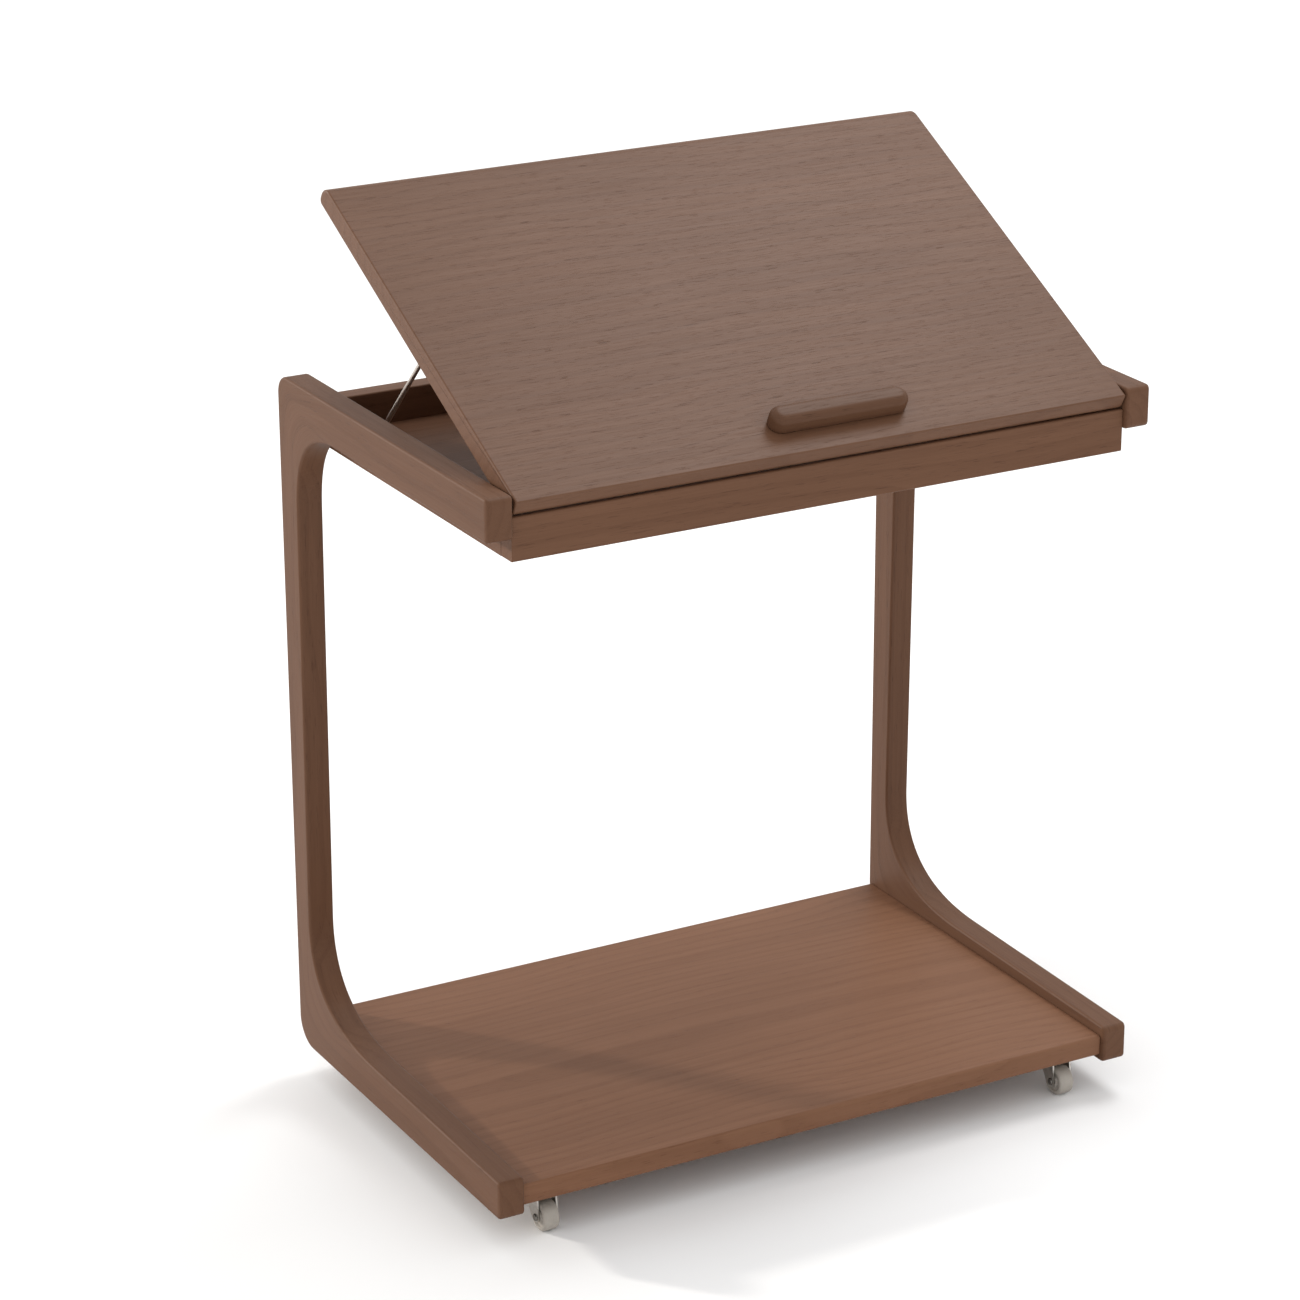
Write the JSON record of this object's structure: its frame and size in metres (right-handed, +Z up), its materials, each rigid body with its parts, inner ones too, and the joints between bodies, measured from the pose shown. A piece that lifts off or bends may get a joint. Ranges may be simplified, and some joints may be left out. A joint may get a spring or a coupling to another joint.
{
  "type": "rolling tilt-top side table",
  "caption": "C-shaped wooden side table on casters, with a low shelf and a tray whose lid tilts up as a reading or writing slope with a book stop.",
  "frame": {"origin": "on the floor, under the middle of the footprint", "axes": "+Z up; +X to the right of a person at the open front of the C; -Y towards that person, +Y towards the legs"},
  "size_m": [0.6, 0.38, 0.7914],
  "materials": {
    "walnut": "walnut, matt lacquer, grain along each piece",
    "walnut_inside": "walnut, matt lacquer, inside of the tray",
    "dark_walnut": "darker walnut, satin",
    "beech": "bare beech, hidden in the joints",
    "bright_steel": "bright zinc plate",
    "dark_steel": "dull zinc plate",
    "nylon": "black nylon",
    "grey_tread": "warm grey thermoplastic rubber"
  },
  "bodies": {
    "frame": {"left_leg": "walnut", "left_arm": "walnut", "left_rail": "walnut", "left_arm_tenon": "beech", "left_rail_tenon": "beech", "shelf_dowel_left_front": "beech", "shelf_dowel_left_back": "beech", "tray_left_side": "walnut_inside", "tray_screw_left_front": "bright_steel", "tray_screw_left_back": "bright_steel", "left_pivot_pin": "bright_steel", "left_stay_track": "bright_steel", "left_track_screw_front": "dark_steel", "left_track_screw_back": "dark_steel", "left_pivot_washer": "nylon", "right_leg": "walnut", "right_arm": "walnut", "right_rail": "walnut", "right_arm_tenon": "beech", "right_rail_tenon": "beech", "shelf_dowel_right_front": "beech", "shelf_dowel_right_back": "beech", "tray_right_side": "walnut_inside", "tray_screw_right_front": "bright_steel", "tray_screw_right_back": "bright_steel", "right_pivot_pin": "bright_steel", "right_stay_track": "bright_steel", "right_track_screw_front": "dark_steel", "right_track_screw_back": "dark_steel", "right_pivot_washer": "nylon", "shelf": "walnut", "front_apron": "walnut", "tray_back_board": "walnut", "tray_floor": "walnut_inside", "caster_front_left_plate": "bright_steel", "caster_front_right_plate": "bright_steel", "caster_back_left_plate": "bright_steel", "caster_back_right_plate": "bright_steel"},
    "lid": {"tilt_panel": "walnut", "book_stop": "dark_walnut", "left_stay_bracket": "bright_steel", "left_stay_rivet": "dark_steel", "right_stay_bracket": "bright_steel", "right_stay_rivet": "dark_steel"},
    "left_stay": {"left_stay_rod": "bright_steel", "left_stay_slider": "dark_steel"},
    "right_stay": {"right_stay_rod": "bright_steel", "right_stay_slider": "dark_steel"},
    "swivel_front_left": {"caster_front_left_fork": "bright_steel", "caster_front_left_axle": "dark_steel"},
    "wheel_front_left": {"caster_front_left_wheel": "grey_tread"},
    "swivel_front_right": {"caster_front_right_fork": "bright_steel", "caster_front_right_axle": "dark_steel"},
    "wheel_front_right": {"caster_front_right_wheel": "grey_tread"},
    "swivel_back_left": {"caster_back_left_fork": "bright_steel", "caster_back_left_axle": "dark_steel"},
    "wheel_back_left": {"caster_back_left_wheel": "grey_tread"},
    "swivel_back_right": {"caster_back_right_fork": "bright_steel", "caster_back_right_axle": "dark_steel"},
    "wheel_back_right": {"caster_back_right_wheel": "grey_tread"}
  },
  "joints": [
    {"name": "lid_tilt", "type": "hinge", "parent": "frame", "child": "lid", "pos_m": [0, -0.1765, 0.621], "axis": [1, 0, 0], "range_deg": [-27.35, 10.65]},
    {"name": "left_stay_swing", "type": "hinge", "parent": "lid", "child": "left_stay", "pos_m": [-0.26, -0.00523, 0.6882], "axis": [1, 0, 0], "range_deg": [-27.5, 70.3]},
    {"name": "right_stay_swing", "type": "hinge", "parent": "lid", "child": "right_stay", "pos_m": [0.26, -0.00523, 0.6882], "axis": [1, 0, 0], "range_deg": [-27.5, 70.3]},
    {"name": "swivel_front_left_turn", "type": "hinge", "parent": "frame", "child": "swivel_front_left", "pos_m": [-0.248, -0.1596, 0.036], "axis": [0, 0, 1], "continuous": true},
    {"name": "wheel_front_left_roll", "type": "hinge", "parent": "swivel_front_left", "child": "wheel_front_left", "pos_m": [-0.248, -0.1676, 0.0125], "axis": [1, 0, 0], "continuous": true},
    {"name": "swivel_front_right_turn", "type": "hinge", "parent": "frame", "child": "swivel_front_right", "pos_m": [0.248, -0.1596, 0.036], "axis": [0, 0, 1], "continuous": true},
    {"name": "wheel_front_right_roll", "type": "hinge", "parent": "swivel_front_right", "child": "wheel_front_right", "pos_m": [0.248, -0.1676, 0.0125], "axis": [1, 0, 0], "continuous": true},
    {"name": "swivel_back_left_turn", "type": "hinge", "parent": "frame", "child": "swivel_back_left", "pos_m": [-0.248, 0.1606, 0.036], "axis": [0, 0, 1], "continuous": true},
    {"name": "wheel_back_left_roll", "type": "hinge", "parent": "swivel_back_left", "child": "wheel_back_left", "pos_m": [-0.248, 0.1526, 0.0125], "axis": [1, 0, 0], "continuous": true},
    {"name": "swivel_back_right_turn", "type": "hinge", "parent": "frame", "child": "swivel_back_right", "pos_m": [0.248, 0.1606, 0.036], "axis": [0, 0, 1], "continuous": true},
    {"name": "wheel_back_right_roll", "type": "hinge", "parent": "swivel_back_right", "child": "wheel_back_right", "pos_m": [0.248, 0.1526, 0.0125], "axis": [1, 0, 0], "continuous": true}
  ],
  "couplings": [
    {"joint": "left_stay_swing", "follows": "lid_tilt", "ratio": -2.5627},
    {"joint": "right_stay_swing", "follows": "lid_tilt", "ratio": -2.5627}
  ]
}
